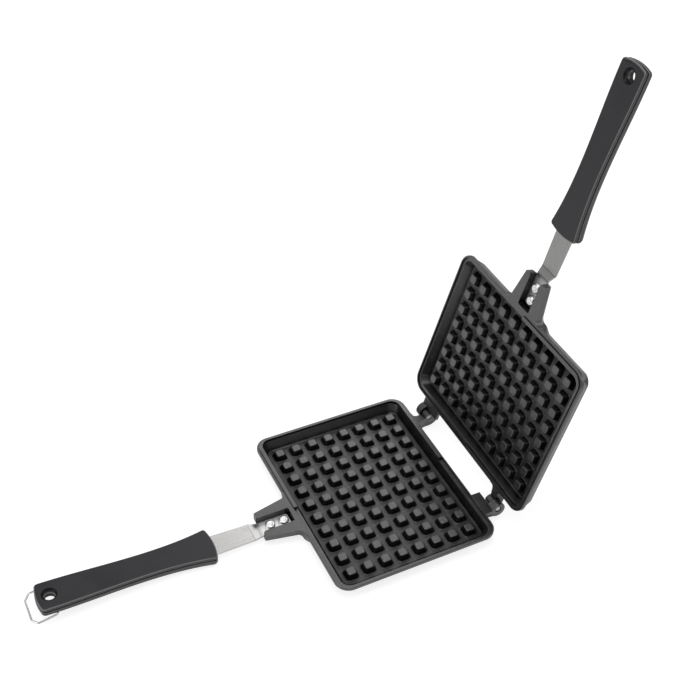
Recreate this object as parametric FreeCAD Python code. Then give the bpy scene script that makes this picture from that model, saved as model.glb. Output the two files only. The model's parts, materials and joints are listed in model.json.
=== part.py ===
import FreeCAD, Part
import math
import os

# A stovetop waffle iron: two identical cast plates on a side hinge, each with a steel tang and a
# two-shell handle, and a wire clip that locks the handles together.
# Every half is first built closed and face up in its own frame: X runs from the handle to the hinge,
# Y along the hinge line, and z is zero on the plane where the two plates meet.
# The finished part stands on the underside of its lower plate, with that underside at z = 0.
# All sizes are in millimetres and all angles in degrees.

Vector = FreeCAD.Vector

# Waffle grid
pin_pitch = 12.0
pins_across = 8
pins_along = 10
pin_top_width = 5.5
pin_base_width = 8.4
pin_top_chamfer = 0.9
pin_base_chamfer = 1.35
pin_set_down = 2.85
pin_root = 0.4

# Cast plate
plate_depth = 9.9
plate_corner = 9.5
rim_height = 2.3
rim_edge_radius = 0.5
closing_gap = 0.2
wall_step = 0.8
base_side_run = 2.9
base_front_run = 5.9
base_rear_run = 3.0
base_corner = 6.5
base_edge_radius = 1.5

# Batter cavity and the lip round it: raised on the rear half, a rebate on the front half
floor_side_margin = 1.3
floor_end_margin = 1.2
side_wall_run = 2.8
end_wall_run = 4.2
land_width = 1.5
side_lip_width = 2.4
end_lip_width = 1.3
lip_height = 0.8
lip_start = 3.5
lip_clearance = 0.3
mouth_straight = 1.4
mouth_corner = 6.5
cavity_depth = 6.9
floor_corner = 5.0
floor_fillet = 1.2

# Boss that carries the tang
boss_run = 24.0
boss_tip_width = 20.2
boss_root_width = 29.6
boss_root_fillet = 4.0
boss_tip_corner = 0.8
boss_wall = 4.6
boss_depth = 8.4
boss_taper = 3.3
boss_overlap = 3.6
boss_flare = 3.6

# Pocket in the boss, open towards the handle
pocket_width = 11.4
pocket_inset = 1.7
pocket_depth = 6.3
pocket_corner = 0.8
pocket_front_radius = 2.2
pocket_rear_radius = 0.5

# Steel tang
tang_thickness = 1.4
tang_seat_width = 11.0
tang_neck_width = 13.5
tang_mouth_width = 14.7
tang_core_width = 10.6
tang_inset = 1.2
tang_start_corner = 1.5
tang_bend_radius = 2.0
shoulder_inset = 1.0
shoulder_run = 4.5
tang_core_start = 24.0
lower_neck_level = 4.3
upper_neck_level = 7.6

# Rivets through tang and boss floor, placed from the pocket's inner end
rivet_insets = (5.6, 14.8)
rivet_shank_radius = 2.0
rivet_head_radius = 3.4
rivet_skirt = 0.9
rivet_dome = 1.5
rivet_flat_radius = 1.3
rivet_tail_radius = 3.0
rivet_tail_depth = 1.0
rivet_clearance = 0.05

# Handle, measured from its mouth
neck_run = 31.0
handle_length = 111.7
handle_mouth_width = 24.4
handle_waist_width = 17.6
handle_palm_width = 20.8
handle_tip_width = 21.0
handle_mouth_bulge = 1.3
handle_tip_bulge = 1.1
waist_share = 0.43
palm_share = 0.86
handle_mouth_corner = 1.8
handle_tip_corner = 2.4
inner_shell_height = 3.3
outer_shell_mouth_height = 5.0
outer_shell_tip_height = 4.0
outer_shell_straight = 1.2
edge_steps = 4
inner_shell_edge = 0.9
inner_shell_tip_edge = 2.2
outer_shell_edge = 3.6
groove_height = 1.5
groove_depth = 0.8
parting_chamfer = 0.45
lower_parting_level = 4.8
upper_parting_level = 8.0
lower_set_angle = 2.5
upper_set_angle = 0.63
core_clearance = 0.15

# Hanging hole near the handle's tip
hanging_hole_inset = 8.4
hanging_hole_radius = 3.6
hanging_hole_edge = 0.8

# Handle screws, driven from the outer side
screw_mouth_inset = 20.0
screw_tip_inset = 32.0
screw_shank_radius = 1.4
screw_head_radius = 2.6
screw_head_height = 1.7
screw_cover = 0.9
screw_clearance = 0.06
screw_recess_radius = 2.9
screw_recess_depth = 2.2
screw_slot_width = 0.8
screw_slot_depth = 0.8

# Hinge
hinge_run = 9.34
pin_radius = 1.6
pin_clearance = 0.04
pin_recess = 0.4
bore_mouth_radius = 2.25
bore_mouth_depth = 1.6
open_angle = 105.0

# Outboard knuckle: a stout barrel hung a little below the pin's axis, beside a flat shelf
outboard_knuckle = (46.0, 51.4)
outboard_radius = 5.4
outboard_drop = 1.2
outboard_web_depth = 5.4
outboard_end_radius = 0.8
shelf_gap = 3.34
shelf_end = 33.5
shelf_thickness = 2.2

# Inboard knuckle: a slim barrel carried by a hooked lug
inboard_knuckle = (40.0, 45.2)
inboard_radius = 3.0
hook_radius = 7.8
hook_depth = 1.5
lug_spread = 1.5
lug_fillet = 2.4
lug_flat = 1.0

# Wire clip on the lower handle
clip_wire_radius = 0.65
clip_pivot_inset = 10.2
clip_pivot_drop = 2.35
clip_half_width = 11.5
clip_bar_half_width = 7.6
clip_corner_reach = 12.2
clip_reach = 15.4
clip_bend_radius = 1.1
clip_end_depth = 2.4
clip_hole_clearance = 0.06
clip_hole_extra_depth = 0.3
clip_droop = 10.6

# One overrun serves every cut that passes through a surface
overrun = 1.0
half_turn = 180.0
quarter_turn = 90.0

# How far an arc in a right-angled corner lies from its chord towards the corner
corner_bow_share = math.sqrt(2) - 1
# Bulge of a rivet's crown beyond the straight cone, as a share of its run
crown_share = 0.25
# Edges within this share of the closing gap count as level with each other
level_share = 0.25


# Sizes that follow from the ones above
floor_width = pins_across * pin_pitch + 2 * floor_side_margin
floor_length = pins_along * pin_pitch + 2 * floor_end_margin
mouth_width = floor_width + 2 * side_wall_run
mouth_length = floor_length + 2 * end_wall_run
plate_width = mouth_width + 2 * (side_lip_width + land_width)
plate_length = mouth_length + 2 * (end_lip_width + land_width)
base_width = plate_width - 2 * (wall_step + base_side_run)
base_length = plate_length - 2 * wall_step - base_front_run - base_rear_run
base_shift = (base_front_run - base_rear_run) / 2
boss_reach = plate_width / 2 + boss_run
pocket_start = plate_width / 2 + pocket_inset
tang_start = pocket_start + tang_inset
rivet_places = [pocket_start + inset for inset in rivet_insets]
shoulder_start = boss_reach + shoulder_inset
shoulder_end = shoulder_start + shoulder_run
handle_start = boss_reach + neck_run
screw_places = (screw_mouth_inset, handle_length - screw_tip_inset)
hinge_axis_x = plate_width / 2 + hinge_run


def rounded_wire(corners, height):
    """Closed outline at a height through (x, y, radius) corners, rounded by tangent arcs."""
    edges = []
    points = [Vector(x, y, height) for x, y, radius in corners]
    starts = []
    ends = []
    for index, corner in enumerate(corners):
        here = points[index]
        radius = corner[2]
        back = (points[index - 1] - here).normalize()
        ahead = (points[(index + 1) % len(points)] - here).normalize()
        half_angle = back.getAngle(ahead) / 2
        tangent = radius / math.tan(half_angle)
        starts.append(here + back * tangent)
        ends.append(here + ahead * tangent)
        if radius > 0:
            bisector = (back + ahead).normalize()
            middle = here + bisector * (radius / math.sin(half_angle) - radius)
            edges.append(Part.Arc(starts[index], middle, ends[index]).toShape())
    sides = []
    for index in range(len(corners)):
        sides.append(Part.LineSegment(ends[index - 1], starts[index]).toShape())
    return Part.Wire(Part.__sortEdges__(edges + sides))


def rectangle(width, length, corner, height, shift=0):
    """Rounded rectangle centred on the plate, or shifted along Y."""
    x = width / 2
    front = shift - length / 2
    rear = shift + length / 2
    return rounded_wire([(x, rear, corner), (-x, rear, corner), (-x, front, corner), (x, front, corner)],
                        height)


def clipped_square(width, chamfer, height):
    """Square outline with its corners cut off."""
    far = width / 2
    near = far - chamfer
    points = [(far, near), (near, far), (-near, far), (-far, near),
              (-far, -near), (-near, -far), (near, -far), (far, -near)]
    return rounded_wire([(x, y, 0) for x, y in points], height)


def prism(wire, height):
    """Solid raised from a level outline."""
    return Part.Face(wire).extrude(Vector(0, 0, height))


def block(x_range, y_range, z_range):
    """Box between the two ends of each range."""
    low = Vector(min(x_range), min(y_range), min(z_range))
    high = Vector(max(x_range), max(y_range), max(z_range))
    size = high - low
    return Part.makeBox(size.x, size.y, size.z, low)


def ruled(lower_wire, upper_wire):
    """Drafted solid between two outlines."""
    return Part.makeLoft([lower_wire, upper_wire], True, True)


def edges_at(shape, height):
    """Edges that lie wholly at one height."""
    margin = closing_gap * level_share
    found = []
    for edge in shape.Edges:
        box = edge.BoundBox
        if abs(box.ZMin - height) < margin and abs(box.ZMax - height) < margin:
            found.append(edge)
    return found


def turned(profile, place):
    """Solid of revolution about a vertical axis from (radius, height) points."""
    points = [Vector(radius, 0, height) for radius, height in profile]
    face = Part.Face(Part.makePolygon(points + points[:1]))
    solid = face.revolve(Vector(0, 0, 0), Vector(0, 0, 1), 2 * half_turn)
    solid.translate(place)
    return solid


# Cast plate

rim_level = -closing_gap / 2
lip_corner = plate_corner - land_width


def outer_body():
    """Flanged rim over a drafted pan with a rounded base."""
    rim = prism(rectangle(plate_width, plate_length, plate_corner, -rim_height), rim_height + rim_level)
    rim = rim.makeFillet(rim_edge_radius, edges_at(rim, rim_level))
    top = rectangle(plate_width - 2 * wall_step, plate_length - 2 * wall_step,
                    plate_corner - wall_step, -rim_height)
    base = rectangle(base_width, base_length, base_corner, -plate_depth, base_shift)
    pan = ruled(base, top)
    pan = pan.makeFillet(base_edge_radius, edges_at(pan, -plate_depth))
    return rim.fuse(pan)


def cavity():
    """Space for the batter: a straight mouth over a drafted, filleted bowl."""
    mouth = prism(rectangle(mouth_width, mouth_length, mouth_corner, -mouth_straight),
                  mouth_straight + lip_height + overrun)
    top = rectangle(mouth_width, mouth_length, mouth_corner, -mouth_straight)
    floor = rectangle(floor_width, floor_length, floor_corner, -cavity_depth)
    bowl = ruled(floor, top)
    bowl = bowl.makeFillet(floor_fillet, edges_at(bowl, -cavity_depth))
    return mouth.fuse(bowl)


def lip_band(spread, bottom, height):
    """Band round the cavity mouth, spread outwards into the land."""
    band_width = plate_width - 2 * (land_width - spread)
    band_length = plate_length - 2 * (land_width - spread)
    return prism(rectangle(band_width, band_length, lip_corner + spread, bottom), height)


def raised_lip():
    """Lip on the rear half of the rim."""
    band = lip_band(0, rim_level - mouth_straight / 2, lip_height + mouth_straight / 2)
    rear = block((-plate_width, plate_width), (lip_start, plate_length),
                 (-plate_depth, plate_depth))
    return band.common(rear)


def rebate():
    """Rebate on the front half that takes the other plate's lip."""
    depth = lip_height + lip_clearance
    band = lip_band(lip_clearance, rim_level - depth, depth + overrun)
    front = block((-plate_width, plate_width), (lip_start, -plate_length),
                  (-plate_depth, plate_depth))
    return band.common(front)


def waffle_pins():
    """Grid of drafted pins that stand on the cavity floor."""
    base = clipped_square(pin_base_width, pin_base_chamfer, -cavity_depth)
    top = clipped_square(pin_top_width, pin_top_chamfer, -pin_set_down)
    root = prism(clipped_square(pin_base_width, pin_base_chamfer, -cavity_depth - pin_root), pin_root)
    pin = ruled(base, top).fuse(root).removeSplitter()
    pins = []
    for column in range(pins_across):
        for row in range(pins_along):
            copy = pin.copy()
            copy.translate(Vector((column - (pins_across - 1) / 2) * pin_pitch,
                                  (row - (pins_along - 1) / 2) * pin_pitch, 0))
            pins.append(copy)
    return pins


def boss_outline(inset, height):
    """Plan of the tapering boss, with fillets that flow into the plate's side."""
    side = -plate_width / 2
    root = boss_root_width / 2 - inset
    tip = boss_tip_width / 2 - inset
    end = -boss_reach + inset / 2
    inner = side + boss_overlap
    flare = root + boss_flare
    upper = [(end, tip, boss_tip_corner), (side, root, boss_root_fillet), (side, flare, 0),
             (inner, flare + boss_overlap, 0)]
    lower = [(x, -y, radius) for x, y, radius in reversed(upper)]
    return rounded_wire(upper + lower, height)


def boss():
    """Spade that carries the tang: straight walls over a tapered keel."""
    walls = prism(boss_outline(0, -boss_wall), boss_wall + rim_level)
    keel = ruled(boss_outline(boss_taper, -boss_depth), boss_outline(0, -boss_wall))
    return walls.fuse(keel)


def pocket():
    """Slot in the boss for the tang, its mouth well rounded on the front side."""
    x_mouth = -boss_reach
    half = pocket_width / 2
    outside = x_mouth - overrun
    rear = half + pocket_rear_radius + overrun
    front = -half - pocket_front_radius - overrun
    corners = [(-pocket_start, half, pocket_corner), (x_mouth, half, pocket_rear_radius),
               (x_mouth, rear, 0), (outside, rear, 0), (outside, front, 0), (x_mouth, front, 0),
               (x_mouth, -half, pocket_front_radius), (-pocket_start, -half, pocket_corner)]
    return prism(rounded_wire(corners, -pocket_depth), pocket_depth + overrun)


def barrel(radius, span, drop):
    """Hinge barrel along a span of Y, its centre at a drop below the pin's axis."""
    return Part.makeCylinder(radius, max(span) - min(span), Vector(hinge_axis_x, min(span), -drop),
                             Vector(0, 1, 0))


def web(edges, span):
    """Plate of metal between plate and barrel from the edges of its side view, along a span of Y."""
    solid = Part.Face(Part.Wire(Part.__sortEdges__(edges))).extrude(Vector(0, max(span) - min(span), 0))
    solid.translate(Vector(0, min(span), 0))
    return solid


def lines(points):
    """Straight edges through (x, z) points in the side view."""
    corners = [Vector(x, 0, z) for x, z in points]
    return [Part.LineSegment(a, b).toShape() for a, b in zip(corners, corners[1:])]


lug_root_x = plate_width / 2 - wall_step - rim_height


def outboard_lug():
    """Stout barrel at the front hinge, its outer edge rounded, with the web that carries it."""
    outer = -outboard_knuckle[1]
    inner = -outboard_knuckle[0]
    stout = barrel(outboard_radius, (outer, inner), outboard_drop)
    rim = [edge for edge in stout.Edges if edge.BoundBox.YMax < outer + outboard_end_radius]
    stout = stout.makeFillet(outboard_end_radius, rim)
    foot = -outboard_drop - outboard_radius
    side = [(lug_root_x, rim_level), (hinge_axis_x, rim_level), (hinge_axis_x, foot),
            (plate_width / 2, -outboard_web_depth), (lug_root_x, -outboard_web_depth),
            (lug_root_x, rim_level)]
    return stout.fuse(web(lines(side), (outer + outboard_end_radius, inner)))


def hinge_shelf():
    """Flat shelf at the front hinge, from the outboard barrel towards the middle."""
    return block((lug_root_x, hinge_axis_x - shelf_gap), (-outboard_knuckle[1], -shelf_end),
                 (rim_level, -shelf_thickness))


def inboard_lug():
    """Slim barrel at the rear hinge on a hooked lug whose sides flow into the plate."""
    low, high = inboard_knuckle
    wall = plate_width / 2
    nose = math.sqrt(hook_radius ** 2 - hook_depth ** 2)
    belly = hook_radius / math.sqrt(2)
    hook = Part.Arc(Vector(hinge_axis_x + nose, 0, -hook_depth), Vector(hinge_axis_x + belly, 0, -belly),
                    Vector(hinge_axis_x, 0, -hook_radius)).toShape()
    side = [(hinge_axis_x, -hook_radius), (lug_root_x, -hook_radius), (lug_root_x, rim_level),
            (hinge_axis_x, rim_level), (hinge_axis_x, -hook_depth), (hinge_axis_x + nose, -hook_depth)]
    foot = low - lug_spread
    edge = lug_fillet + lug_flat
    far = hinge_axis_x + hook_radius + overrun
    plan = [(lug_root_x, high + edge, 0), (wall, high + edge, 0), (wall, high, lug_fillet),
            (far, high, 0), (far, low, 0), (hinge_axis_x - inboard_radius, low, 0),
            (wall, foot, lug_fillet), (wall, foot - edge, 0), (lug_root_x, foot - edge, 0)]
    lug = web([hook] + lines(side), (foot - edge, high + edge))
    lug = lug.common(prism(rounded_wire(plan, -plate_depth), plate_depth))
    return lug.fuse(barrel(inboard_radius, inboard_knuckle, 0))


def hinge_bores():
    """Bores through both barrels, with a wider mouth at the outboard end."""
    reach = outboard_knuckle[1] + overrun
    bore = Part.makeCylinder(pin_radius + pin_clearance, 2 * reach,
                             Vector(hinge_axis_x, -reach, 0), Vector(0, 1, 0))
    mouth = Part.makeCylinder(bore_mouth_radius, bore_mouth_depth + overrun,
                              Vector(hinge_axis_x, -reach, 0), Vector(0, 1, 0))
    return bore.fuse(mouth)


def cast_plate():
    """One casting, used for both halves."""
    body = outer_body().fuse([raised_lip(), boss(), outboard_lug(), hinge_shelf(), inboard_lug()])
    body = body.cut(cavity()).cut(rebate()).cut(pocket()).cut(hinge_bores())
    for x in rivet_places:
        body = body.cut(rivet_hole(x))
    body = body.fuse(waffle_pins())
    return body.removeSplitter()


# Rivets

seat_level = -pocket_depth + tang_thickness


def rivet_hole(x):
    """Countersunk hole through the boss floor."""
    radius = rivet_shank_radius + rivet_clearance
    tail = rivet_tail_radius + rivet_clearance
    profile = [(0, -boss_depth - overrun), (tail, -boss_depth - overrun), (tail, -boss_depth),
               (radius, -boss_depth + rivet_tail_depth), (radius, seat_level + overrun),
               (0, seat_level + overrun)]
    return turned(profile, Vector(-x, 0, 0))


def rivet(x):
    """Domed rivet with its tail peened flush into the boss."""
    top = seat_level + rivet_skirt + rivet_dome
    shoulder = seat_level + rivet_skirt
    head = [(0, seat_level), (rivet_head_radius, seat_level), (rivet_head_radius, shoulder)]
    flat = Vector(rivet_flat_radius, 0, top)
    edge = Vector(rivet_head_radius, 0, shoulder)
    bulge = (rivet_head_radius - rivet_flat_radius) * crown_share
    crown = (flat + edge) / 2 + Vector(bulge, 0, bulge)
    crown_edge = Part.Arc(edge, crown, flat).toShape()
    outline = lines(head) + [crown_edge] + lines([(rivet_flat_radius, top), (0, top), (0, seat_level)])
    dome = Part.Face(Part.Wire(outline)).revolve(Vector(0, 0, 0), Vector(0, 0, 1), 2 * half_turn)
    dome.translate(Vector(-x, 0, 0))
    profile = [(0, -boss_depth), (rivet_tail_radius, -boss_depth),
               (rivet_shank_radius, -boss_depth + rivet_tail_depth),
               (rivet_shank_radius, shoulder), (0, shoulder)]
    return dome.fuse(turned(profile, Vector(-x, 0, 0))).removeSplitter()


# Handle frame: x is zero at the mouth and negative outwards, z is zero at the parting plane


def to_half(shape, parting_level, set_angle):
    """Carry a shape from the handle's frame to the half's frame."""
    placed = shape.copy()
    placed.rotate(Vector(0, 0, 0), Vector(0, 1, 0), set_angle)
    placed.translate(Vector(-handle_start, 0, -parting_level))
    return placed


def handle_outline(inset, tip_inset, height):
    """Plan of the handle: bulged mouth, waisted flanks and a rounded tip."""
    mouth = handle_mouth_width / 2 - inset
    waist = handle_waist_width / 2 - inset
    palm = handle_palm_width / 2 - inset
    tip = handle_tip_width / 2 - inset
    x_mouth = -handle_mouth_bulge - inset
    x_tip = -handle_length + handle_tip_bulge + tip_inset
    waist_x = -handle_length * waist_share
    palm_x = -handle_length * palm_share
    mouth_ease = handle_mouth_corner
    tip_ease = handle_tip_corner
    edges = []
    for sign in (1, -1):
        start = Vector(x_mouth - mouth_ease, sign * mouth, height)
        finish = Vector(x_tip + tip_ease, sign * tip, height)
        flank = Part.BSplineCurve()
        through = [start, Vector(waist_x, sign * waist, height), Vector(palm_x, sign * palm, height),
                   finish]
        flank.interpolate(through)
        edges.append(flank.toShape())
        nose = Vector(x_mouth, sign * (mouth - mouth_ease), height)
        edges.append(corner_arc(start, Vector(x_mouth, sign * mouth, height), nose))
        heel = Vector(x_tip, sign * (tip - tip_ease), height)
        edges.append(corner_arc(finish, Vector(x_tip, sign * tip, height), heel))
    mouth_y = mouth - mouth_ease
    tip_y = tip - tip_ease
    edges.append(Part.Arc(Vector(x_mouth, mouth_y, height), Vector(-inset, 0, height),
                          Vector(x_mouth, -mouth_y, height)).toShape())
    edges.append(Part.Arc(Vector(x_tip, tip_y, height), Vector(-handle_length + tip_inset, 0, height),
                          Vector(x_tip, -tip_y, height)).toShape())
    return Part.Wire(Part.__sortEdges__(edges))


def corner_arc(start, corner, finish):
    """Arc that rounds a corner between two points beside it."""
    middle = (start + finish) / 2
    return Part.Arc(start, middle + (corner - middle) * corner_bow_share, finish).toShape()


def tang_plan(depth):
    """Plan of the tang in the half's frame, from its seat to its eye, as a tall solid."""
    seat = tang_seat_width / 2
    neck = tang_neck_width / 2
    mouth = tang_mouth_width / 2
    core = tang_core_width / 2
    eye = -handle_start - handle_length + hanging_hole_inset
    upper = [(-tang_start, seat, tang_start_corner), (-shoulder_start, seat, 0),
             (-shoulder_end, neck, 0), (-handle_start, mouth, 0),
             (-handle_start - tang_core_start, core, 0), (eye, core, 0)]
    lower = [(x, -y, radius) for x, y, radius in reversed(upper)]
    plan = prism(rounded_wire(upper + lower, -depth), 2 * depth)
    end = Part.makeCylinder(core, 2 * depth, Vector(eye, 0, -depth))
    return plan.fuse(end).removeSplitter()


def strip(points, width):
    """Strip whose top surface follows (x, z) points, with rounded bends."""
    top = [Vector(x, z, 0) for x, z in points]
    runs = [(b - a).normalize() for a, b in zip(top, top[1:])]
    normals = [Vector(-run.y, run.x, 0) for run in runs]
    above = []
    below = []
    for index, point in enumerate(top):
        before = normals[max(index - 1, 0)]
        after = normals[min(index, len(normals) - 1)]
        mitre = (before + after).normalize()
        under = point + mitre * (tang_thickness / mitre.dot(before))
        inside = 0
        outside = 0
        if 0 < index < len(runs):
            inside = tang_bend_radius
            outside = tang_bend_radius + tang_thickness
        bends_down = runs[min(index, len(runs) - 1)].dot(before) > 0
        above.append((point.x, point.y, outside if bends_down else inside))
        below.append((under.x, under.y, inside if bends_down else outside))
    face = Part.Face(rounded_wire(above + below[::-1], 0))
    face.rotate(Vector(0, 0, 0), Vector(1, 0, 0), quarter_turn)
    solid = face.extrude(Vector(0, width, 0))
    solid.translate(Vector(0, -width / 2, 0))
    return solid


def tang(neck_level, parting_level, set_angle):
    """Steel tang: flat in the boss, set at the neck, and straight through the handle."""
    rise = math.tan(math.radians(set_angle))
    inside = handle_length - hanging_hole_inset + tang_core_width
    entry = -parting_level + tang_thickness / 2
    points = [(-tang_start + overrun, seat_level), (-shoulder_start, seat_level),
              (-shoulder_end, -neck_level), (-handle_start, entry),
              (-handle_start - inside, entry + inside * rise)]
    body = strip(points, handle_mouth_width).common(tang_plan(handle_start))
    for x in rivet_places:
        hole = Part.makeCylinder(rivet_shank_radius + rivet_clearance, 2 * plate_depth,
                                 Vector(-x, 0, -plate_depth))
        body = body.cut(hole)
    for hole in screw_holes(plate_depth, plate_depth) + [hanging_hole()]:
        body = body.cut(to_half(hole, parting_level, set_angle))
    return body


def hanging_hole():
    """Straight bore near the tip, in the handle's frame."""
    return Part.makeCylinder(hanging_hole_radius, 2 * plate_depth,
                             Vector(-handle_length + hanging_hole_inset, 0, -plate_depth))


def hanging_hole_ease(face_level, outwards):
    """Cone that eases the edge of the hanging hole at an outer face."""
    wide = hanging_hole_radius + hanging_hole_edge + overrun
    place = Vector(-handle_length + hanging_hole_inset, 0, face_level - outwards * hanging_hole_edge)
    return Part.makeCone(hanging_hole_radius, wide, hanging_hole_edge + overrun, place,
                         Vector(0, 0, outwards))


def screw_holes(up, down):
    """Screw holes that reach up and down from the parting plane."""
    return [Part.makeCylinder(screw_shank_radius + screw_clearance, up + down, Vector(-x, 0, -down))
            for x in screw_places]


def core_space():
    """Half of the slot that the tang fills, cut into each shell."""
    wide = tang_mouth_width / 2 + core_clearance
    core = tang_core_width / 2 + core_clearance
    half = tang_thickness / 2 + core_clearance / 2
    eye = -handle_length + hanging_hole_inset
    upper = [(overrun, wide, 0), (0, wide, 0), (-tang_core_start, core, 0), (eye, core, 0)]
    lower = [(x, -y, radius) for x, y, radius in reversed(upper)]
    slot = prism(rounded_wire(upper + lower, -half), 2 * half)
    end = Part.makeCylinder(core, 2 * half, Vector(eye, 0, -half))
    return slot.fuse(end)


def shell_body(side, foot_height, mouth_height, tip_height, straight, edge, tip_edge):
    """Straight wall and rounded edge of a handle shell on one side of the parting plane."""
    wall = prism(handle_outline(0, 0, side * foot_height), side * (straight - foot_height))
    slope = math.degrees(math.atan((mouth_height - tip_height) / handle_length))
    sections = []
    for step in range(edge_steps + 1):
        angle = math.radians(quarter_turn * step / edge_steps)
        depth = side * (straight + (mouth_height - straight) * math.sin(angle))
        bow = 1 - math.cos(angle)
        section = handle_outline(edge * bow, tip_edge * bow, depth)
        section.rotate(Vector(0, 0, depth), Vector(0, 1, 0), -side * slope * math.sin(angle))
        sections.append(section)
    return wall.fuse(Part.makeLoft(sections, True, False))


def inner_shell():
    """Flat-faced shell on the side of the other handle, over a groove along the parting."""
    foot = prism(handle_outline(groove_depth, groove_depth, 0), groove_height)
    shell = shell_body(1, groove_height, inner_shell_height, inner_shell_height,
                       inner_shell_height - inner_shell_edge, inner_shell_edge, inner_shell_tip_edge)
    depth = inner_shell_height - screw_cover
    shell = shell.fuse(foot).removeSplitter().cut(core_space()).cut(hanging_hole())
    shell = shell.cut(hanging_hole_ease(inner_shell_height, 1))
    for hole in screw_holes(depth, overrun):
        shell = shell.cut(hole)
    return shell


def screw_seat():
    """Depth below the parting plane where the screw heads sit."""
    return outer_shell_tip_height - screw_recess_depth


def outer_shell():
    """Rounded back shell, thinner towards the tip."""
    foot = ruled(handle_outline(parting_chamfer, parting_chamfer, 0),
                 handle_outline(0, 0, -parting_chamfer))
    shell = shell_body(-1, parting_chamfer, outer_shell_mouth_height, outer_shell_tip_height,
                       outer_shell_straight, outer_shell_edge, outer_shell_edge)
    shell = shell.fuse(foot).removeSplitter().cut(core_space()).cut(hanging_hole())
    shell = shell.cut(hanging_hole_ease(-outer_shell_tip_height, -1))
    for hole in screw_holes(overrun, 2 * plate_depth):
        shell = shell.cut(hole)
    for x in screw_places:
        recess = Part.makeCylinder(screw_recess_radius, plate_depth,
                                   Vector(-x, 0, -screw_seat() - plate_depth))
        shell = shell.cut(recess)
    return shell


def handle_screw(x):
    """Slotted pan-head screw, its head down in the back shell."""
    seat = -screw_seat()
    length = inner_shell_height - screw_cover - screw_clearance - seat
    shank = Part.makeCylinder(screw_shank_radius, length, Vector(-x, 0, seat))
    head = Part.makeCylinder(screw_head_radius, screw_head_height,
                             Vector(-x, 0, seat - screw_head_height))
    slot = block((-x - screw_head_radius, -x + screw_head_radius),
                 (-screw_slot_width / 2, screw_slot_width / 2),
                 (seat - screw_head_height - overrun, seat - screw_head_height + screw_slot_depth))
    return shank.fuse(head).removeSplitter().cut(slot)


# Wire clip, in the lower handle's frame, with its pivot at the origin and its bar towards -X


def clip_wire():
    """Bent wire: two turned-in ends, two legs and a narrower cross bar."""
    inner = clip_half_width - clip_end_depth - clip_wire_radius
    upper = [(0, inner, 0), (0, clip_half_width, clip_bend_radius),
             (-clip_corner_reach, clip_half_width, clip_bend_radius),
             (-clip_reach, clip_bar_half_width, clip_bend_radius)]
    lower = [(x, -y, radius) for x, y, radius in reversed(upper)]
    closed = rounded_wire(upper + lower, 0)
    gap = block((-clip_wire_radius, clip_wire_radius), (-inner, inner),
                (-clip_wire_radius, clip_wire_radius))
    kept = closed.cut(gap)
    path = Part.Wire(Part.__sortEdges__(kept.Edges))
    start = path.OrderedVertexes[0].Point
    section = Part.Wire(Part.makeCircle(clip_wire_radius, start, Vector(0, 1, 0)))
    return path.makePipeShell([section], True, False)


def clip_pivot():
    """Pivot of the clip in the handle's frame."""
    return Vector(-handle_length + clip_pivot_inset, 0, -clip_pivot_drop)


def clip_holes():
    """Blind holes in the sides of the lower outer shell for the clip's ends."""
    inner = clip_half_width - clip_end_depth - clip_wire_radius - clip_hole_extra_depth
    holes = []
    for sign in (1, -1):
        start = clip_pivot() + Vector(0, sign * inner, 0)
        holes.append(Part.makeCylinder(clip_wire_radius + clip_hole_clearance, clip_half_width,
                                       start, Vector(0, sign, 0)))
    return holes


def lock_clip():
    """Clip drooping a little from the tip of the lower handle."""
    clip = clip_wire()
    clip.rotate(Vector(0, 0, 0), Vector(0, 1, 0), -clip_droop - lower_set_angle)
    clip.translate(clip_pivot())
    return to_half(clip, lower_parting_level, lower_set_angle)


def hinge_pin(span):
    """Hinge pin through one pair of barrels, its ends a little inside them."""
    low = min(span) + pin_recess
    length = abs(span[1] - span[0]) - 2 * pin_recess
    return Part.makeCylinder(pin_radius, length, Vector(hinge_axis_x, low, 0), Vector(0, 1, 0))


# Assembly


def stand(shape):
    """Lift a lower piece so that the plate's underside is at z = 0."""
    placed = shape.copy()
    placed.translate(Vector(0, 0, plate_depth))
    return placed


def open_up(shape):
    """Turn a half over onto the lower one, swing it open about the hinge and lift it."""
    placed = shape.copy()
    placed.rotate(Vector(0, 0, 0), Vector(1, 0, 0), half_turn)
    placed.rotate(Vector(hinge_axis_x, 0, 0), Vector(0, 1, 0), open_angle)
    placed.translate(Vector(0, 0, plate_depth))
    return placed


def half_pieces(prefix, neck_level, parting_level, set_angle, put):
    """Tang, rivets, shells and screws of one half, by node name."""
    back = outer_shell()
    if put is stand:
        for hole in clip_holes():
            back = back.cut(hole)
    screws = Part.makeCompound([handle_screw(x) for x in screw_places])
    in_handle = {"handle_inner_shell": inner_shell(), "handle_outer_shell": back,
                 "handle_screws": screws}
    pieces = {"tang": tang(neck_level, parting_level, set_angle),
              "tang_rivets": Part.makeCompound([rivet(x) for x in rivet_places])}
    for name, shape in in_handle.items():
        pieces[name] = to_half(shape, parting_level, set_angle)
    return {prefix + name: put(shape) for name, shape in pieces.items()}


def build():
    """All nodes of the waffle iron, by name."""
    plate = cast_plate()
    pin_span = (inboard_knuckle[0], outboard_knuckle[1])
    nodes = {"lower_plate": stand(plate), "upper_plate": open_up(plate)}
    nodes.update(half_pieces("lower_", lower_neck_level, lower_parting_level, lower_set_angle, stand))
    nodes.update(half_pieces("upper_", upper_neck_level, upper_parting_level, upper_set_angle, open_up))
    nodes["hinge_pin_rear"] = stand(hinge_pin(pin_span))
    nodes["hinge_pin_front"] = stand(hinge_pin((-pin_span[1], -pin_span[0])))
    nodes["lock_clip"] = stand(lock_clip())
    return nodes


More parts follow.
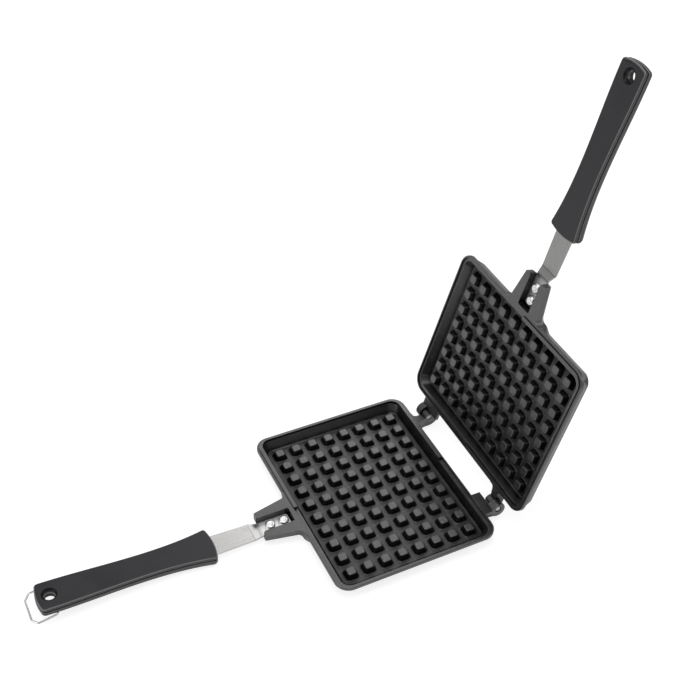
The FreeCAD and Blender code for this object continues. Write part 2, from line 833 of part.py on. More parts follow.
os.makedirs("parts", exist_ok=True)
for node, shape in build().items():
    shape.exportStep("parts/" + node + ".step")
    box = shape.BoundBox
    print(node, len(shape.Solids), shape.isValid(), round(shape.Volume, 1),
          [round(v, 2) for v in (box.XMin, box.YMin, box.ZMin, box.XMax, box.YMax, box.ZMax)])
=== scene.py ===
import json
import math

import bmesh
import bpy
from mathutils import Matrix, Vector


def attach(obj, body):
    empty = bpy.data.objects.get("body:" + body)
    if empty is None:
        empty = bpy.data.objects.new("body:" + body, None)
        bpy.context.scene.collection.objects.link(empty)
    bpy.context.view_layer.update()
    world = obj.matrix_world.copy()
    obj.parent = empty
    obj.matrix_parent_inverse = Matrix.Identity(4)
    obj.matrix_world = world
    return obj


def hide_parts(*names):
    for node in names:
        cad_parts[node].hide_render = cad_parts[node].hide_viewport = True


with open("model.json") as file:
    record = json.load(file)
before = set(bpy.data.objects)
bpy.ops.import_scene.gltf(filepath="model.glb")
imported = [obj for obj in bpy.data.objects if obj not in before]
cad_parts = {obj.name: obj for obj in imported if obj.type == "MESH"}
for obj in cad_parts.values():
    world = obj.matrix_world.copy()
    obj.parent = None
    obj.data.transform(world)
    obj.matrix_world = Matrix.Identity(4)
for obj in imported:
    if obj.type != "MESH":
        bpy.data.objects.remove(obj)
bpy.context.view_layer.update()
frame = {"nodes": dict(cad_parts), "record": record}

nodes = frame["nodes"]
MM = 0.001


# Measures of the iron in millimetres. Each half has a frame of its own, in which the handle points
# to -X, the face is up and z = 0 is the plane where the closed halves meet.

HINGE_X = 65.34
PLATE_DEPTH = 9.9
OPEN_ANGLE = 105.0
CAVITY_HALF = (52.0, 65.2)
CAVITY_BLUR = 0.4
CAVITY_DEEP = (-4.0, -6.4)
BOSS_END = -80.0
TANG_BEND = (-85.5, -81.0)
TANG_HIDDEN = (-150.0, -160.0)
HOLE_X = -214.25
HOLE_RIM = 4.75
HOLE_BLUR = 0.3


class Tree:
    """A node tree that starts empty."""

    def __init__(self, owner):
        owner.use_nodes = True
        self.tree = owner.node_tree
        self.tree.nodes.clear()

    def plug(self, source, socket):
        """Link an output to a socket, or give the socket a plain value."""
        if isinstance(source, bpy.types.NodeSocket):
            self.tree.links.new(source, socket)
        else:
            socket.default_value = source

    def node(self, kind, values=(), **settings):
        """New node with its settings, and with values or links for its sockets."""
        made = self.tree.nodes.new(kind)
        for key, value in settings.items():
            setattr(made, key, value)
        for key, value in dict(values).items():
            self.plug(value, made.inputs[key])
        return made


class Net(Tree):
    """A node material whose principled shader is ready to be fed."""

    def __init__(self, name):
        self.material = bpy.data.materials.new(name)
        super().__init__(self.material)
        self.shader = self.node("ShaderNodeBsdfPrincipled")
        self.node("ShaderNodeOutputMaterial", {"Surface": self.shader.outputs[0]})
        self.place = self.node("ShaderNodeTexCoord").outputs["Object"]

    def math(self, operation, a, b=0.0):
        return self.node("ShaderNodeMath", {0: a, 1: b}, operation=operation).outputs[0]

    def times(self, a, b):
        return self.math("MULTIPLY", a, b)

    def dot(self, a, b):
        made = self.node("ShaderNodeVectorMath", {0: a, 1: b}, operation="DOT_PRODUCT")
        return made.outputs["Value"]

    def split(self, vector):
        return self.node("ShaderNodeSeparateXYZ", {0: vector}).outputs

    def mapped(self, source, scale, shift=(0, 0, 0)):
        values = {"Vector": source, "Scale": scale, "Location": shift}
        return self.node("ShaderNodeMapping", values).outputs[0]

    def own(self, frame_matrix):
        """Place in a half's own frame, in millimetres."""
        back = frame_matrix.inverted()
        turned = [self.dot(self.place, row) for row in back.to_3x3()]
        values = [self.math("ADD", value, shift) for value, shift in zip(turned, back.translation)]
        return self.node("ShaderNodeCombineXYZ", enumerate(values)).outputs[0]

    def facing(self, frame_matrix):
        """How far the surface faces up in a half's own frame, from -1 to 1."""
        up = (frame_matrix.to_3x3() @ Vector((0, 0, 1))).normalized()
        return self.dot(self.node("ShaderNodeTexCoord").outputs["Normal"], up)

    def noise(self, scale, detail, rough, source=None):
        values = {"Vector": source or self.place, "Scale": scale, "Detail": detail, "Roughness": rough}
        return self.node("ShaderNodeTexNoise", values).outputs["Fac"]

    def ramp(self, value, low, high, start=0.0, end=1.0):
        """Smooth step from start, where the value is low, to end, where it is high."""
        values = {"Value": value, "From Min": low, "From Max": high, "To Min": start, "To Max": end}
        made = self.node("ShaderNodeMapRange", values, interpolation_type="SMOOTHSTEP")
        return made.outputs["Result"]

    def between(self, share, start, end):
        """From start to end as a share goes from 0 to 1."""
        return self.ramp(share, 0.0, 1.0, start, end)

    def mix(self, share, a, b):
        """Colour a where the share is 0 and b where it is 1."""
        return self.node("ShaderNodeMix", {0: share, 6: a, 7: b}, data_type="RGBA").outputs[2]

    def edge(self, radius):
        """1 on sharp edges, fading to 0 within a radius."""
        rounded = self.node("ShaderNodeBevel", {"Radius": radius}, samples=4).outputs[0]
        normal = self.node("ShaderNodeNewGeometry").outputs["Normal"]
        return self.ramp(self.dot(rounded, normal), 0.97, 0.80)

    def openness(self, reach):
        """1 on open faces, less in corners and between pins."""
        return self.node("ShaderNodeAmbientOcclusion", {"Distance": reach}, samples=6).outputs["AO"]

    def bump(self, height, distance, strength, below=None):
        values = {"Height": height, "Distance": distance, "Strength": strength}
        if below is not None:
            values["Normal"] = below
        return self.node("ShaderNodeBump", values).outputs[0]

    def finish(self, colour, roughness, normal, **settings):
        """Feed the shader and return the material."""
        self.plug(colour, self.shader.inputs["Base Color"])
        self.plug(roughness, self.shader.inputs["Roughness"])
        self.plug(normal, self.shader.inputs["Normal"])
        for key, value in settings.items():
            self.shader.inputs[key].default_value = value
        return self.material


def grey(value, warmth=0.0):
    return (value * (1 + warmth), value, value * (1 - warmth), 1.0)


# Looks. Tones are linear greys, scales of noise are in cycles per metre or, in a half's own frame,
# per millimetre, depths and reaches are in metres, and a shine is the shader's specular level.
# A span holds the two values between which a mask goes from 0 to 1.

COAT_GRAIN = 2600
COAT_FLECKS = 950
COAT_CAST = 520
COAT_MOTTLE = 140
COAT_TONES = (0.008, 0.013)
COAT_FLECK_TONE = 0.13
# The edge tone is partly wear and partly a painted highlight; the tones for corners and for the
# cavity's flanks are painted shade.
COAT_WEAR_AND_HIGHLIGHT_TONE = 0.125
COAT_CORNER_SHADE_TONE = 0.003
COAT_FLANK_SHADE_TONE = 0.004
COAT_WARMTH = 0.06
COAT_FLECK_SPAN = (0.60, 0.74)
COAT_FLANK_SPAN = (0.78, 0.40)
COAT_OPEN_SHADE_SPAN = (0.45, 0.92)
COAT_OPEN_SHINE_SPAN = (0.45, 0.82)
COAT_EDGE_REACH = 0.5 * MM
COAT_CORNER_REACH = 11 * MM
COAT_CAST_DEPTH = 0.09 * MM
COAT_GRAIN_DEPTH = 0.035 * MM
COAT_ROUGH = (0.27, 0.35)
COAT_SHINE = (0.12, 0.5)
COAT_FLANK_SHINE = 0.22
COAT_DEEP_SHINE = 0.66
COAT_IOR = 2.05


def coating(name, frame_matrix):
    """Dark non-stick coating over a cast surface: fine grain, faint mottling, paler edges that are
    partly wear and partly a painted highlight, painted shade in corners and on the cavity's flanks,
    and less shine there and on the floor of the batter cavity."""
    net = Net(name)
    grain = net.noise(COAT_GRAIN, 3.0, 0.6)
    mottle = net.noise(COAT_MOTTLE, 4.0, 0.55)
    cast = net.noise(COAT_CAST, 2.0, 0.5)
    fleck = net.ramp(net.noise(COAT_FLECKS, 1.0, 0.4), *COAT_FLECK_SPAN)
    worn_lit_edge = net.times(net.edge(COAT_EDGE_REACH), net.ramp(grain, 0.25, 0.75, 0.35, 0.8))
    across, along, height = net.split(net.own(frame_matrix))
    inside = net.times(*[net.ramp(net.math("ABSOLUTE", place), half + CAVITY_BLUR, half - CAVITY_BLUR)
                         for place, half in zip((across, along), CAVITY_HALF)])
    # Flanks of pins and walls inside the batter cavity: painted shade falls here, and the shine is
    # cut.
    shaded_flank = net.times(inside, net.ramp(net.facing(frame_matrix), *COAT_FLANK_SPAN))
    deep = net.times(inside, net.ramp(height, *CAVITY_DEEP))
    open_share = net.openness(COAT_CORNER_REACH)

    tones = [grey(tone, COAT_WARMTH) for tone in COAT_TONES]
    colour = net.mix(net.ramp(mottle, 0.35, 0.68), *tones)
    colour = net.mix(net.times(fleck, 0.5), colour, grey(COAT_FLECK_TONE, 0.04))
    # Paler edges: partly wear, partly a painted highlight where rounded edges catch the light.
    colour = net.mix(worn_lit_edge, colour, grey(COAT_WEAR_AND_HIGHLIGHT_TONE, 0.02))
    # Painted shade: the colour goes near black where ambient occlusion finds corners and gaps between
    # pins.
    colour = net.mix(net.ramp(open_share, *COAT_OPEN_SHADE_SPAN),
                     grey(COAT_CORNER_SHADE_TONE, COAT_WARMTH), colour)
    # Painted shade: the cavity's flanks are darkened towards black.
    colour = net.mix(net.times(shaded_flank, 0.7), colour, grey(COAT_FLANK_SHADE_TONE, COAT_WARMTH))

    shine = net.ramp(open_share, *COAT_OPEN_SHINE_SPAN, *COAT_SHINE)
    shine = net.times(shine, net.between(shaded_flank, 1.0, COAT_FLANK_SHINE))
    shine = net.times(shine, net.between(deep, 1.0, COAT_DEEP_SHINE))
    net.plug(shine, net.shader.inputs["Specular IOR Level"])
    rough = net.math("ADD", net.ramp(mottle, 0.3, 0.7, *COAT_ROUGH), net.times(grain, 0.05))
    normal = net.bump(cast, COAT_CAST_DEPTH, 0.6)
    normal = net.bump(grain, COAT_GRAIN_DEPTH, 0.6, normal)
    return net.finish(colour, rough, normal, IOR=COAT_IOR)


STRIP_LINES = (0.06, 1.6, 1.6)
STRIP_FINE = (0.2, 4.8, 4.8)
STRIP_STAINS = 0.09
STRIP_LINE_DEPTH = 0.012 * MM
STRIP_ROUGH = (0.26, 0.36)
# Below: the run over which the painted highlight under the rivets fades in, and the half width of the
# painted dark crease at each of the bends.
SEAT_GLINT_RUN = 2.0
CREASE_SHADE_HALF = 0.5


def brushed(name, frame_matrix, tone, seat_glint_tone, bend_light_share):
    """Brushed steel strip: grain along its length, a painted highlight where it lies under the rivets
    in the boss's pocket, painted light and shade on the bent stretch with a painted dark crease at
    each of its bends, and painted shade on the steel inside the handle."""
    net = Net(name)
    own = net.own(frame_matrix)
    along = net.split(own)[0]
    lines = net.noise(1.0, 3.0, 0.65, net.mapped(own, STRIP_LINES))
    fine = net.noise(1.0, 2.0, 0.6, net.mapped(own, STRIP_FINE))
    stain = net.noise(STRIP_STAINS, 3.0, 0.5, own)
    seat_glint = net.ramp(along, BOSS_END, BOSS_END + SEAT_GLINT_RUN)
    bend_light = net.times(net.ramp(along, TANG_BEND[0] - 0.4, TANG_BEND[0] + 0.2),
                     net.ramp(along, TANG_BEND[1] + 0.4, TANG_BEND[1] - 0.2))

    colour = net.mix(net.ramp(lines, 0.3, 0.7), grey(tone * 0.88, 0.01), grey(tone, 0.01))
    colour = net.mix(net.ramp(stain, 0.55, 0.8, 0.0, 0.3), colour, grey(tone * 0.75, 0.02))
    # Painted light and shade on the bent stretch: darker on the lower strip, lighter on the upper.
    colour = net.mix(bend_light, colour, grey(tone * bend_light_share, 0.01))
    # Painted shade: a dark crease across the strip at each of its bends.
    for place in TANG_BEND:
        crease_shade = net.times(net.ramp(along, place - CREASE_SHADE_HALF, place),
                         net.ramp(along, place + CREASE_SHADE_HALF, place))
        colour = net.mix(net.times(crease_shade, 0.8), colour, grey(tone * 0.5, 0.02))
    # Painted highlight: the strip is painted paler where it lies in the boss's pocket under the
    # rivets.
    colour = net.mix(seat_glint, colour, grey(seat_glint_tone))
    # Painted shade: the steel inside the handle, seen through the hanging hole, is darkened.
    colour = net.mix(net.ramp(along, *TANG_HIDDEN), colour, grey(tone * 0.25))

    rough = net.math("ADD", net.ramp(fine, 0.3, 0.7, *STRIP_ROUGH), net.times(seat_glint, 0.12))
    return net.finish(colour, rough, net.bump(lines, STRIP_LINE_DEPTH, 0.5), Metallic=1.0)


PLASTIC_GRAIN = 2200
PLASTIC_FLECKS = 1300
PLASTIC_WAVES = 160
PLASTIC_CLOUDS = 45
PLASTIC_TONES = ((0.0135, 0.0112, 0.0150, 1.0), (0.0195, 0.0168, 0.0215, 1.0))
PLASTIC_FLECK_TONE = 0.07
# Tones for painted light on the back faces, a painted highlight round the face, and painted shade in
# corners and in the hanging hole.
PLASTIC_BACK_LIGHT_TONE = 0.035
PLASTIC_HIGHLIGHT_TONE = 0.20
PLASTIC_SHADE_TONE = 0.003
PLASTIC_HOLE_SHADE_TONE = 0.006
PLASTIC_FLECK_SPAN = (0.66, 0.78)
PLASTIC_HIGHLIGHT_SPANS = ((0.985, 0.90), (0.25, 0.55))
PLASTIC_BACK_SPAN = (0.3, -0.1)
PLASTIC_OPEN_SPAN = (0.30, 0.62)
PLASTIC_CORNER_REACH = 4 * MM
PLASTIC_GRAIN_DEPTH = 0.025 * MM
PLASTIC_WAVE_DEPTH = 0.05 * MM
PLASTIC_ROUGH = (0.30, 0.42)
PLASTIC_SHINE = (0.5, 0.85)


def plastic(name, frame_matrix):
    """Charcoal moulded plastic: fine matt grain, a painted highlight round the flat face, a glossier
    back shell that is also painted lighter, and painted shade in the gaps and the hanging hole."""
    net = Net(name)
    grain = net.noise(PLASTIC_GRAIN, 3.0, 0.6)
    cloud = net.noise(PLASTIC_CLOUDS, 3.0, 0.5)
    fleck = net.ramp(net.noise(PLASTIC_FLECKS, 1.0, 0.4), *PLASTIC_FLECK_SPAN)
    facing = net.facing(frame_matrix)
    rim_highlight = net.times(*[net.ramp(facing, *span) for span in PLASTIC_HIGHLIGHT_SPANS])
    back = net.ramp(facing, *PLASTIC_BACK_SPAN)
    from_hole = net.mapped(net.own(frame_matrix), (1, 1, 0), (-HOLE_X, 0, 0))
    from_hole = net.node("ShaderNodeVectorMath", {0: from_hole}, operation="LENGTH").outputs["Value"]
    hole = net.ramp(from_hole, HOLE_RIM + HOLE_BLUR, HOLE_RIM)
    open_share = net.ramp(net.openness(PLASTIC_CORNER_REACH), *PLASTIC_OPEN_SPAN)

    colour = net.mix(net.ramp(cloud, 0.35, 0.7), *PLASTIC_TONES)
    colour = net.mix(net.times(fleck, 0.3), colour, grey(PLASTIC_FLECK_TONE))
    # Painted light: faces turned away from the flat face are painted lighter.
    colour = net.mix(net.times(back, 0.6), colour, grey(PLASTIC_BACK_LIGHT_TONE))
    # Painted highlight round the rounded edge of the flat face.
    colour = net.mix(net.times(rim_highlight, 0.85), colour, grey(PLASTIC_HIGHLIGHT_TONE))
    # Painted shade: near black where ambient occlusion finds gaps and corners.
    colour = net.mix(open_share, grey(PLASTIC_SHADE_TONE), colour)
    # Painted shade inside the hanging hole.
    colour = net.mix(hole, colour, grey(PLASTIC_HOLE_SHADE_TONE))

    unshaded = net.times(open_share, net.between(hole, 1.0, 0.35))
    shine = net.times(net.between(back, *PLASTIC_SHINE), net.between(unshaded, 0.2, 1.0))
    net.plug(shine, net.shader.inputs["Specular IOR Level"])
    rough = net.math("ADD", net.ramp(cloud, 0.3, 0.7, *PLASTIC_ROUGH), net.times(grain, 0.08))
    normal = net.bump(grain, PLASTIC_GRAIN_DEPTH, 0.5)
    normal = net.bump(net.noise(PLASTIC_WAVES, 2.0, 0.5), PLASTIC_WAVE_DEPTH, 0.5, normal)
    return net.finish(colour, rough, normal)


METAL_DENTS = 900
METAL_SMEARS = 300
METAL_DENT_DEPTH = 0.03 * MM


def bright(name, tone, rough):
    """Bright metal with faint hammer marks and handling marks."""
    net = Net(name)
    dents = net.noise(METAL_DENTS, 2.0, 0.5)
    smear = net.noise(METAL_SMEARS, 3.0, 0.6)
    colour = net.mix(net.ramp(smear, 0.4, 0.7), grey(tone), grey(tone * 0.85, 0.01))
    rough = net.ramp(smear, 0.3, 0.7, rough, rough + 0.12)
    return net.finish(colour, rough, net.bump(dents, METAL_DENT_DEPTH, 0.6), Metallic=1.0)


def half_frames():
    """Matrices from each half's own frame to the scene."""
    lower = Matrix.Scale(MM, 4) @ Matrix.Translation((0, 0, PLATE_DEPTH))
    swing = Matrix.Translation((HINGE_X, 0, 0)) @ Matrix.Rotation(math.radians(OPEN_ANGLE), 4, "Y")
    swing = swing @ Matrix.Translation((-HINGE_X, 0, 0)) @ Matrix.Rotation(math.pi, 4, "X")
    return {"lower": lower, "upper": lower @ swing}


frames = half_frames()
coatings = {half + "_plate": coating(half + "_coating", matrix) for half, matrix in frames.items()}
# Both strips are one steel: the lower strip's paler tone and the upper strip's darker tone are painted
# light and shade, as are their differing tones under the rivets and on the bent stretch.
strips = {
    "lower_tang": brushed("lower_strip", frames["lower"], tone=0.64, seat_glint_tone=0.95, bend_light_share=0.85),
    "upper_tang": brushed("upper_strip", frames["upper"], tone=0.36, seat_glint_tone=0.5, bend_light_share=1.35),
}
looks_of_slots = {
    "rivet_metal": bright("rivet_bright", tone=0.90, rough=0.24),
    "screw_steel": bright("screw_bright", tone=0.62, rough=0.30),
    "pin_steel": bright("pin_drawn", tone=0.55, rough=0.34),
    "clip_wire": bright("clip_drawn", tone=0.86, rough=0.16),
}
handles = {half: plastic(half + "_handle_moulding", matrix) for half, matrix in frames.items()}
shells = {half + "_handle_" + side + "_shell": handles[half]
          for half in frames for side in ("inner", "outer")}
looks_of_nodes = {**coatings, **strips, **shells}
slot_of = {part["node"]: part["material_slot"] for part in frame["record"]["subparts"]}
for name, piece in nodes.items():
    look = looks_of_nodes[name] if name in looks_of_nodes else looks_of_slots[slot_of[name]]
    if not piece.material_slots:
        piece.data.materials.append(look)
    for slot in piece.material_slots:
        slot.material = look


# Dressed plates: each casting keeps its solid's faces, except that the waffle grid is a finer skin
# with rounded pin edges and filleted roots, and a smooth web runs from each side of the boss into
# the pan. Sizes are in millimetres in the plate's own frame.

PIN_PITCH = 12.0
PINS_ACROSS = 8
PINS_ALONG = 10
PIN_TOP = (2.75, -2.85)
PIN_BASE = (4.2, -6.9)
PIN_CORNER_SHARE = 0.48
PIN_FIELD = (46.3, 58.3)
TOP_EASE = 0.42
ROOT_EASE = 0.62
FLAT_SHARE = 0.72
ARC_STEPS = 4
QUARTER = math.pi / 2
FLOOR_REACH = (49.2, 61.1)
WELD = 0.001
LEVEL_SLACK = 0.03

WALL_X = -56.0
BOSS_WALL = 4.6
BOSS_EDGE = 18.4
BOSS_TAPER = 3.3
PAN_TOP = (-55.2, -2.3)
PAN_SLOPE = 2.9 / 7.6
WEB_HEIGHTS = (-2.25, -8.4)
WEB_ROOT = (0.03, 0.3)
WEB_SINK = 0.06
WEB_INNER_X = -52.4
WEB_RUN = 8.0
WEB_ROWS = 7
WEB_STEPS = 8


def eased(before, corner, after, reach):
    """Points of a soft arc that rounds a corner of a profile."""
    corner = Vector(corner)
    start = corner + (Vector(before) - corner).normalized() * reach
    end = corner + (Vector(after) - corner).normalized() * reach
    steps = [index / ARC_STEPS for index in range(ARC_STEPS + 1)]
    return [start * (1 - s) ** 2 + corner * 2 * s * (1 - s) + end * s ** 2 for s in steps]


def pin_ring(half):
    """Outline of a pin at a half width: a square with round corners."""
    radius = half * PIN_CORNER_SHARE
    reach = (half - radius) * math.sqrt(2)
    points = []
    for quarter in range(4):
        corner = QUARTER * quarter + math.pi / 4
        for step in range(ARC_STEPS + 1):
            angle = QUARTER * (quarter + step / ARC_STEPS)
            points.append((reach * math.cos(corner) + radius * math.cos(angle),
                           reach * math.sin(corner) + radius * math.sin(angle)))
    return points


def cell_ring():
    """Outline of one grid cell with as many points as a pin's outline."""
    half = PIN_PITCH / 2
    points = []
    for quarter in range(4):
        turn = Matrix.Rotation(QUARTER * quarter, 2)
        for step in range(ARC_STEPS + 1):
            share = step / ARC_STEPS
            x = half if share <= 0.5 else half * (1.5 - share)
            y = half if share >= 0.5 else half * (0.5 + share)
            points.append(tuple(turn @ Vector((x, y))))
    return points


def pin_rings():
    """Rings of one pin from its flat top to the edge of its cell, as lists of (x, y, z)."""
    middle = (0.0, PIN_TOP[1])
    far = (PIN_PITCH / 2, PIN_BASE[1])
    profile = [Vector((PIN_TOP[0] * FLAT_SHARE, PIN_TOP[1]))]
    profile += eased(middle, PIN_TOP, PIN_BASE, TOP_EASE)
    profile += eased(PIN_TOP, PIN_BASE, far, ROOT_EASE)
    rings = [[(x, y, height) for x, y in pin_ring(half)] for half, height in profile]
    rings.append([(x, y, PIN_BASE[1]) for x, y in cell_ring()])
    return rings


def add_pin(skin, rings, place):
    """One pin and its cell of the floor."""
    made = [[skin.verts.new(place + Vector(point)) for point in ring] for ring in rings]
    skin.faces.new(made[0])
    for inner, outer in zip(made, made[1:]):
        for index in range(len(inner)):
            after = (index + 1) % len(inner)
            skin.faces.new((inner[index], outer[index], outer[after], inner[after]))


def add_floor_border(skin):
    """Floor between the outer cells and the faces of the solid that are kept."""
    near = (PINS_ACROSS * PIN_PITCH / 2, PINS_ALONG * PIN_PITCH / 2)
    for sign in (1, -1):
        for low, high in (((near[0], -FLOOR_REACH[1]), FLOOR_REACH),
                          ((-near[0], near[1]), (near[0], FLOOR_REACH[1]))):
            corners = [(low[0], low[1]), (high[0], low[1]), (high[0], high[1]), (low[0], high[1])]
            skin.faces.new([skin.verts.new((sign * x, sign * y, PIN_BASE[1])) for x, y in corners])


def web_line(z):
    """Points (x, y) of a boss web at a height, from inside the boss to inside the pan's wall."""
    keel = max(0.0, (BOSS_WALL + z) / (BOSS_WALL + WEB_HEIGHTS[1]))
    edge = BOSS_EDGE - BOSS_TAPER * keel
    pan = PAN_TOP[0] + PAN_SLOPE * (PAN_TOP[1] - z)
    points = [(WALL_X + WEB_ROOT[0], edge - WEB_ROOT[1])]
    for step in range(WEB_STEPS + 1):
        share = step / WEB_STEPS
        ease = share * share * (3 - 2 * share)
        points.append((WALL_X + (pan + WEB_SINK - WALL_X) * ease, edge + WEB_RUN * share))
    return points


def add_boss_webs(skin):
    """Smooth webs that carry the boss's side walls over into the pan, closed flat below."""
    top, bottom = WEB_HEIGHTS
    heights = [top + (bottom - top) * row / WEB_ROWS for row in range(WEB_ROWS + 1)]
    for side in (1, -1):
        sheet = [[skin.verts.new((x, side * y, z)) for x, y in web_line(z)] for z in heights]
        foot = [skin.verts.new(vertex.co) for vertex in sheet[-1]]
        inner = [skin.verts.new((WEB_INNER_X, vertex.co.y, vertex.co.z)) for vertex in foot]
        for upper, lower in [*zip(sheet, sheet[1:]), (foot, inner)]:
            for index in range(len(upper) - 1):
                corners = [upper[index], upper[index + 1], lower[index + 1], lower[index]]
                skin.faces.new(corners[::side])


def grid_skin():
    """Mesh of the waffle grid, the floor round it and the boss webs, in the plate's own frame."""
    skin = bmesh.new()
    rings = pin_rings()
    for column in range(PINS_ACROSS):
        for row in range(PINS_ALONG):
            add_pin(skin, rings, Vector(((column - (PINS_ACROSS - 1) / 2) * PIN_PITCH,
                                         (row - (PINS_ALONG - 1) / 2) * PIN_PITCH, 0)))
    add_floor_border(skin)
    bmesh.ops.remove_doubles(skin, verts=skin.verts, dist=WELD)
    add_boss_webs(skin)
    for face in skin.faces:
        face.smooth = True
    mesh = bpy.data.meshes.new("grid_skin")
    skin.to_mesh(mesh)
    skin.free()
    return mesh


def in_grid(points):
    """True for a face of the casting that the skin takes the place of."""
    if all(abs(point.z - PIN_BASE[1]) < LEVEL_SLACK for point in points):
        return True
    return all(abs(point.x) < PIN_FIELD[0] and abs(point.y) < PIN_FIELD[1]
               and PIN_BASE[1] - LEVEL_SLACK < point.z < PIN_TOP[1] + LEVEL_SLACK
               for point in points)


def faces_of(mesh, keep=lambda corners: True):
    """All points of a mesh, with the corner indices and corner normals of the faces to keep."""
    points = [vertex.co for vertex in mesh.vertices]
    normals = mesh.corner_normals
    found = []
    for polygon in mesh.polygons:
        if keep([points[index] for index in polygon.vertices]):
            corner_normals = [normals[loop].vector.copy() for loop in polygon.loop_indices]
            found.append((list(polygon.vertices), corner_normals))
    return points, found


def placed(name, data):
    """New object in the scene."""
    piece = bpy.data.objects.new(name, data)
    bpy.context.scene.collection.objects.link(piece)
    return piece


def dress_plate(name, body, frame_matrix, skin):
    """Replace the casting of a node by its kept faces and the skin."""
    back = frame_matrix.inverted()
    turn = frame_matrix.to_3x3().normalized()
    points, kept = faces_of(nodes[name].data,
                            lambda corners: not in_grid([back @ corner for corner in corners]))
    skin_points, skin_faces = faces_of(skin)
    shift = len(points)
    faces = [face for face, _ in kept]
    faces += [[shift + index for index in face] for face, _ in skin_faces]
    normals = [normal for _, face_normals in kept for normal in face_normals]
    normals += [turn @ normal for _, face_normals in skin_faces for normal in face_normals]
    mesh = bpy.data.meshes.new(name + "_dressed")
    mesh.from_pydata(points + [frame_matrix @ point for point in skin_points], [], faces)
    mesh.polygons.foreach_set("use_smooth", [True] * len(faces))
    mesh.normals_split_custom_set(normals)
    mesh.update()
    mesh.materials.append(coatings[name])
    piece = placed(name + "_dressed", mesh)
    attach(piece, body)
    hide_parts(name)


skin = grid_skin()
for half, frame_matrix in frames.items():
    dress_plate(half + "_plate", half + "_half", frame_matrix, skin)
bpy.data.meshes.remove(skin)


# Stage: pale floor, soft light and the photograph's view. A pair of a glow and a tone is what one
# kind of ray meets on the floor. Places and sizes are in metres.

SKY_SEEN = 1.0
SKY_MIRRORED = (0.13, 0.40)
SKY_MIRRORED_HEIGHT = 0.75
SKY_LIGHT = 0.4
FLOOR_SEEN = (0.80, 0.40)
FLOOR_MIRRORED = (0.50, 0.42)
FLOOR_LIGHT = (0.0, 0.82)
FLOOR_HALF = 6.0
FLOOR_DROP = 0.02 * MM

VIEW_PLACE = (-0.2631, -0.4418, 0.5835)
VIEW_RIGHT = Vector((0.89805, -0.43828, 0.03775))
VIEW_DOWN = Vector((-0.26311, -0.60393, -0.75235))
VIEW_AHEAD = Vector((0.35254, 0.66571, -0.65768))
VIEW_SENSOR = 36.0
VIEW_LENS = 61.76
VIEW_NEAR = 0.01

LAMPS = (
    # name, place, aim, side of the square, watts, tint
    ("softbox_back", (0.76, 1.00, 1.02), (0.0, 0.0, 0.05), 1.0, 3.9, (1.0, 1.0, 1.0)),
    ("softbox_top", (-0.1, 0.0, 1.6), (0.0, 0.0, 0.05), 0.9, 7.0, (1.0, 1.0, 1.0)),
    ("softbox_right", (1.25, -0.55, 0.55), (0.05, 0.0, 0.15), 0.8, 2.6, (1.0, 0.95, 0.90)),
    ("softbox_left", (-1.3, 0.2, 0.8), (0.0, 0.0, 0.1), 1.0, 4.0, (1.0, 1.0, 1.0)),
)


def lit(tree, glow, tone):
    """Diffuse surface of a tone with some glow of its own."""
    shade = tree.node("ShaderNodeBsdfDiffuse", {"Color": grey(tone)})
    light = tree.node("ShaderNodeEmission", {"Strength": glow})
    return tree.node("ShaderNodeAddShader", {0: shade.outputs[0], 1: light.outputs[0]}).outputs[0]


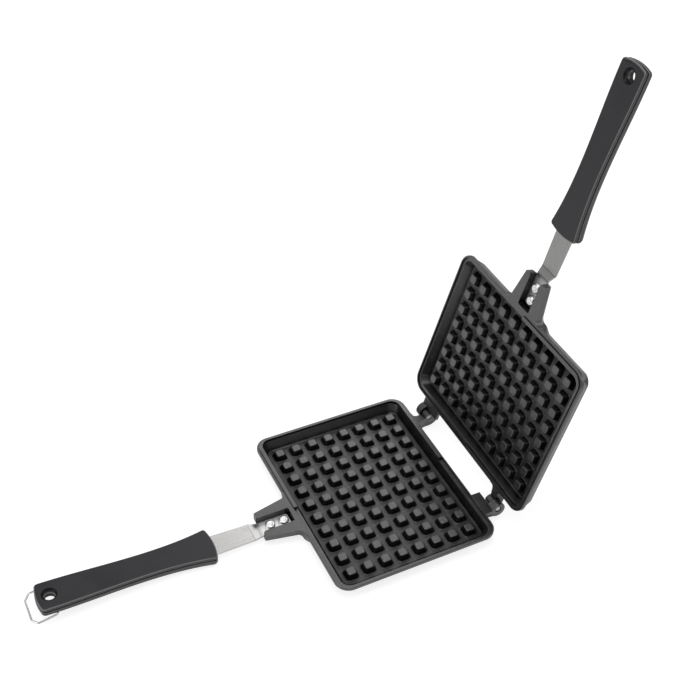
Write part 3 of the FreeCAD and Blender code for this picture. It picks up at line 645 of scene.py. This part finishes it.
def floor():
    """Pale floor: white with a faint shadow to the camera, a little dimmer in reflections."""
    corners = [(x * FLOOR_HALF, y * FLOOR_HALF, 0) for x, y in ((-1, -1), (1, -1), (1, 1), (-1, 1))]
    mesh = bpy.data.meshes.new("floor")
    mesh.from_pydata(corners, [], [(0, 1, 2, 3)])
    piece = placed("floor", mesh)
    piece.location.z = -FLOOR_DROP
    material = bpy.data.materials.new("pale_floor")
    tree = Tree(material)
    rays = tree.node("ShaderNodeLightPath").outputs
    surface = lit(tree, *FLOOR_LIGHT)
    for ray, look in (("Is Glossy Ray", FLOOR_MIRRORED), ("Is Transmission Ray", FLOOR_MIRRORED),
                      ("Is Camera Ray", FLOOR_SEEN)):
        values = {0: rays[ray], 1: surface, 2: lit(tree, *look)}
        surface = tree.node("ShaderNodeMixShader", values).outputs[0]
    tree.node("ShaderNodeOutputMaterial", {"Surface": surface})
    mesh.materials.append(material)


def sky():
    """White to the camera, darker near the horizon in reflections, and dim as plain light."""
    world = bpy.data.worlds.new("sky")
    bpy.context.scene.world = world
    tree = Tree(world)
    place = tree.node("ShaderNodeTexCoord").outputs["Generated"]
    height = tree.node("ShaderNodeSeparateXYZ", {0: place}).outputs["Z"]
    values = {"Value": height, "From Max": SKY_MIRRORED_HEIGHT,
              "To Min": SKY_MIRRORED[0], "To Max": SKY_MIRRORED[1]}
    mirrored = tree.node("ShaderNodeMapRange", values).outputs["Result"]
    rays = tree.node("ShaderNodeLightPath").outputs
    level = SKY_LIGHT
    for ray, amount in (("Is Glossy Ray", mirrored), ("Is Transmission Ray", mirrored),
                        ("Is Camera Ray", SKY_SEEN)):
        values = {"Factor": rays[ray], "A": level, "B": amount}
        level = tree.node("ShaderNodeMix", values).outputs["Result"]
    back = tree.node("ShaderNodeBackground", {"Color": grey(1.0), "Strength": level})
    tree.node("ShaderNodeOutputWorld", {"Surface": back.outputs[0]})


def lamp(name, place, aim, side, watts, tint):
    """Square soft light that shines from a place towards an aim."""
    data = bpy.data.lights.new(name, "AREA")
    data.shape = "RECTANGLE"
    data.size = side
    data.size_y = side
    data.energy = watts
    data.color = tint
    piece = placed(name, data)
    piece.location = place
    piece.rotation_euler = (Vector(aim) - Vector(place)).to_track_quat("-Z", "Y").to_euler()


def camera():
    """The photograph's view."""
    data = bpy.data.cameras.new("photo_view")
    data.sensor_width = VIEW_SENSOR
    data.sensor_height = VIEW_SENSOR
    data.sensor_fit = "HORIZONTAL"
    data.lens = VIEW_LENS
    data.clip_start = VIEW_NEAR
    piece = placed("photo_view", data)
    turn = Matrix((VIEW_RIGHT, -VIEW_DOWN, -VIEW_AHEAD)).transposed()
    piece.matrix_world = Matrix.Translation(VIEW_PLACE) @ turn.to_4x4()
    bpy.context.scene.camera = piece


floor()
sky()
camera()
for settings in LAMPS:
    lamp(*settings)
bpy.context.scene.view_settings.view_transform = "Standard"
